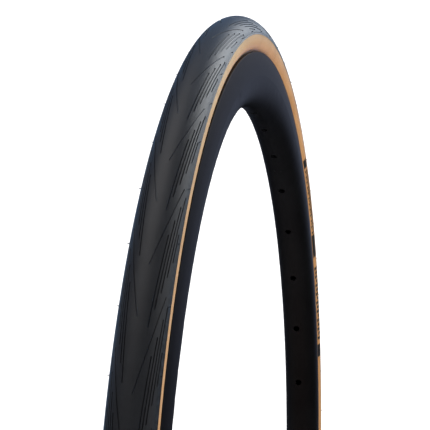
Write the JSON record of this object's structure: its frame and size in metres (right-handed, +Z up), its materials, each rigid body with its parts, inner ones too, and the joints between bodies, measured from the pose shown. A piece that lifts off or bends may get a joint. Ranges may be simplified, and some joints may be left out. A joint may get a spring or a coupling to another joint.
{
  "type": "bicycle tire",
  "caption": "Road bicycle tire with a black tread and tan sidewalls, seated on a deep-section rim with its inner tube and valve.",
  "frame": {"origin": "the wheel's centre, on its spin axis and mid plane", "axes": "+Y along the wheel's spin axis, towards its left side; +Z up, away from the valve; +X forwards"},
  "size_m": [0.6779, 0.0268, 0.678],
  "materials": {
    "tread_rubber": "satin rubber with a fine moulded grain",
    "tan_rubber": "matte tan rubber over cord",
    "ply_fabric": "rubberised nylon cord",
    "belt_fabric": "woven aramid",
    "bead_cord": "aramid cord",
    "chafer_fabric": "black nylon cloth",
    "label_ink": "dark printed ink",
    "butyl": "matte butyl rubber",
    "rim_black": "satin black anodised aluminium",
    "sleeve_aluminium": "mill finish",
    "tape_fabric": "woven nylon tape",
    "valve_brass": "nickel-plated brass",
    "black_plastic": "moulded plastic"
  },
  "bodies": {
    "wheel": {"tread_cap": "tread_rubber", "puncture_belt": "belt_fabric", "casing_ply_outer": "ply_fabric", "casing_ply_inner": "ply_fabric", "bead_core_left": "bead_cord", "bead_core_right": "bead_cord", "sidewall_left": "tan_rubber", "sidewall_right": "tan_rubber", "chafer_left": "chafer_fabric", "chafer_right": "chafer_fabric", "sidewall_label_left": "label_ink", "sidewall_label_right": "label_ink", "inner_tube": "butyl", "valve_base": "butyl", "rim": "rim_black", "rim_joint_sleeve": "sleeve_aluminium", "rim_tape": "tape_fabric", "valve_stem": "valve_brass", "valve_core_body": "valve_brass", "valve_core_gasket": "butyl"},
    "core_nut": {"valve_core_nut": "valve_brass"},
    "valve_pin": {"valve_pin": "valve_brass", "valve_seal": "butyl"},
    "rim_washer": {"rim_nut_washer": "butyl"},
    "rim_nut": {"rim_nut": "valve_brass"},
    "valve_cap": {"valve_cap": "black_plastic"}
  },
  "joints": [
    {"name": "core_nut_turn", "type": "hinge", "parent": "wheel", "child": "core_nut", "pos_m": [0, 0, -0.2509], "axis": [0, 0, 1], "range_deg": [0, 1440]},
    {"name": "valve_pin_slide", "type": "slide", "parent": "wheel", "child": "valve_pin", "axis": [0, 0, 1], "range_m": [-0.0018, 0]},
    {"name": "rim_washer_slide", "type": "slide", "parent": "wheel", "child": "rim_washer", "axis": [0, 0, 1], "range_m": [0, 0.012]},
    {"name": "rim_nut_turn", "type": "hinge", "parent": "rim_washer", "child": "rim_nut", "pos_m": [0, 0, -0.2771], "axis": [0, 0, 1], "range_deg": [0, 5400]},
    {"name": "valve_cap_lift", "type": "slide", "parent": "wheel", "child": "valve_cap", "axis": [0, 0, 1], "range_m": [0, 0.08]}
  ],
  "couplings": [
    {"joint": "core_nut_turn", "follows": "valve_pin_slide", "rad_per_m": -13963},
    {"joint": "rim_nut_turn", "follows": "rim_washer_slide", "rad_per_m": 7854}
  ]
}
